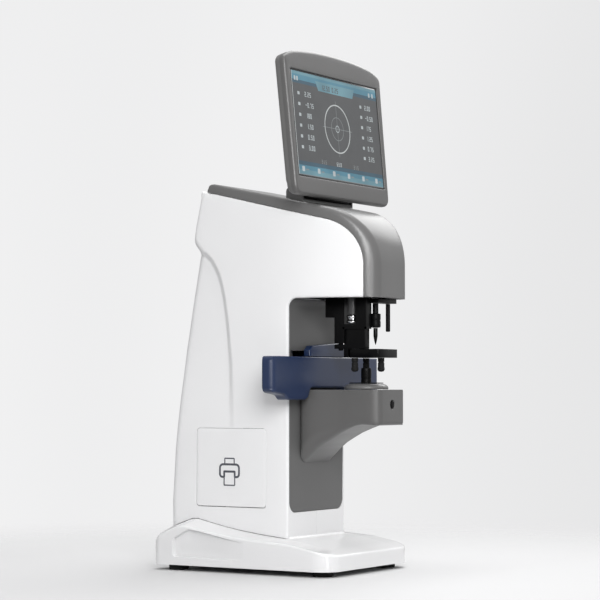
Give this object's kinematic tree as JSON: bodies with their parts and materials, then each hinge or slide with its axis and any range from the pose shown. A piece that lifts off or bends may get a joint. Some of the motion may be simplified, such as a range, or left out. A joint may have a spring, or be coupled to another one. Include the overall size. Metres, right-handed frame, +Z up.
{
  "type": "lensmeter",
  "caption": "Desktop automatic lensmeter with tilting touch screen, sliding lens table, lens presser, marker, side printer door and splayed base.",
  "frame": {"origin": "centre of the bounding box's footprint, on the table plane under the feet", "axes": "+X operator's right, +Y to the rear of the instrument, +Z up; the operator sits on the -Y side"},
  "size_m": [0.186, 0.2082, 0.4627],
  "materials": {
    "white_shell": "satin moulded ABS",
    "grey_shell": "satin grey moulded ABS",
    "grey_panel": "fine texture",
    "black_plastic": "satin",
    "black_anodised": "black anodised",
    "blue_table": "satin dark blue",
    "rubber": "matte",
    "steel": "brushed",
    "aluminium": "mill finish",
    "chrome": "polished",
    "brass": "turned",
    "glass": "clear",
    "display": "touch glass",
    "circuit_board": "solder mask",
    "paper": "thermal paper"
  },
  "bodies": {
    "root": {"base_shell": "white_shell", "base_plate": "steel", "foot_front_left": "rubber", "foot_front_right": "rubber", "foot_rear_left": "rubber", "foot_rear_right": "rubber", "body_shell_left": "white_shell", "body_shell_right": "white_shell", "top_cover": "grey_shell", "front_panel": "grey_panel", "head_liner": "black_plastic", "head_window": "glass", "frame_column": "aluminium", "head_beam": "aluminium", "collimator_tube": "black_anodised", "collimator_lens": "glass", "lamp_board": "circuit_board", "lamp_heatsink": "aluminium", "arm_housing": "grey_shell", "nozzle_base": "grey_shell", "nozzle_seat": "black_plastic", "lens_nozzle": "black_plastic", "sensor_tube": "black_anodised", "sensor_board": "circuit_board", "rail_bush_left": "brass", "rail_bush_right": "brass", "presser_bracket": "black_anodised", "guide_rod_left": "black_anodised", "guide_rod_right": "black_anodised", "neck_cradle": "grey_shell", "printer_frame": "grey_panel", "rear_panel": "grey_panel", "power_inlet": "black_plastic", "serial_port": "steel", "power_supply": "steel", "main_board": "circuit_board"},
    "table": {"lens_table": "blue_table", "table_rail_left": "steel", "table_rail_right": "steel"},
    "pd_carrier": {"pd_slider": "blue_table"},
    "presser": {"presser_carriage": "black_anodised", "presser_plate": "black_anodised", "presser_pin_left": "rubber", "presser_pin_right": "rubber", "presser_pin_front": "rubber", "damper_barrel": "grey_shell", "damper_collar": "chrome"},
    "marker": {"marker_slide": "black_anodised", "marker_holder": "black_plastic", "marker_needle": "black_anodised", "marker_peg": "black_plastic"},
    "read_key": {"read_button": "black_plastic"},
    "screen": {"screen_bezel": "grey_shell", "display_glass": "display", "screen_rear_housing": "grey_shell", "tilt_bracket": "black_plastic"},
    "door": {"printer_door": "white_shell"},
    "roll": {"paper_roll": "paper"},
    "platen": {"platen_roller": "rubber"},
    "rocker": {"power_rocker": "black_plastic"}
  },
  "joints": [
    {"name": "screen_tilt", "type": "hinge", "parent": "root", "child": "screen", "pos_m": [0, -0.03215, 0.3348], "axis": [-1, 0, 0], "range_deg": [-8, 20]},
    {"name": "table_slide", "type": "slide", "parent": "root", "child": "table", "axis": [0, -1, 0], "range_m": [0, 0.015]},
    {"name": "pd_slide", "type": "slide", "parent": "table", "child": "pd_carrier", "axis": [1, 0, 0], "range_m": [-0.026, 0.015]},
    {"name": "presser_lift", "type": "slide", "parent": "root", "child": "presser", "axis": [0, 0, 1], "range_m": [0, 0.015]},
    {"name": "marker_press", "type": "slide", "parent": "root", "child": "marker", "axis": [0, 0.5391, -0.8423], "range_m": [0, 0.0178], "stiffness_N_per_m": 120, "springref_m": -0.004},
    {"name": "read_press", "type": "slide", "parent": "root", "child": "read_key", "axis": [0, 1, 0], "range_m": [0, 0.002], "stiffness_N_per_m": 200, "springref_m": -0.001},
    {"name": "door_open", "type": "hinge", "parent": "root", "child": "door", "pos_m": [-0.0496, 0.03415, 0.0579], "axis": [0, -1, 0], "range_deg": [0, 95]},
    {"name": "rocker_turn", "type": "hinge", "parent": "root", "child": "rocker", "pos_m": [0.0145, 0.09635, 0.0685], "axis": [1, 0, 0], "range_deg": [0, 12]},
    {"name": "roll_turn", "type": "hinge", "parent": "root", "child": "roll", "pos_m": [-0.0265, 0.03435, 0.088], "axis": [0, 1, 0], "continuous": true},
    {"name": "platen_turn", "type": "hinge", "parent": "root", "child": "platen", "pos_m": [-0.04, 0.03435, 0.1156], "axis": [0, 1, 0], "continuous": true}
  ],
  "couplings": [
    {"joint": "platen_turn", "follows": "roll_turn", "ratio": -3.7}
  ]
}
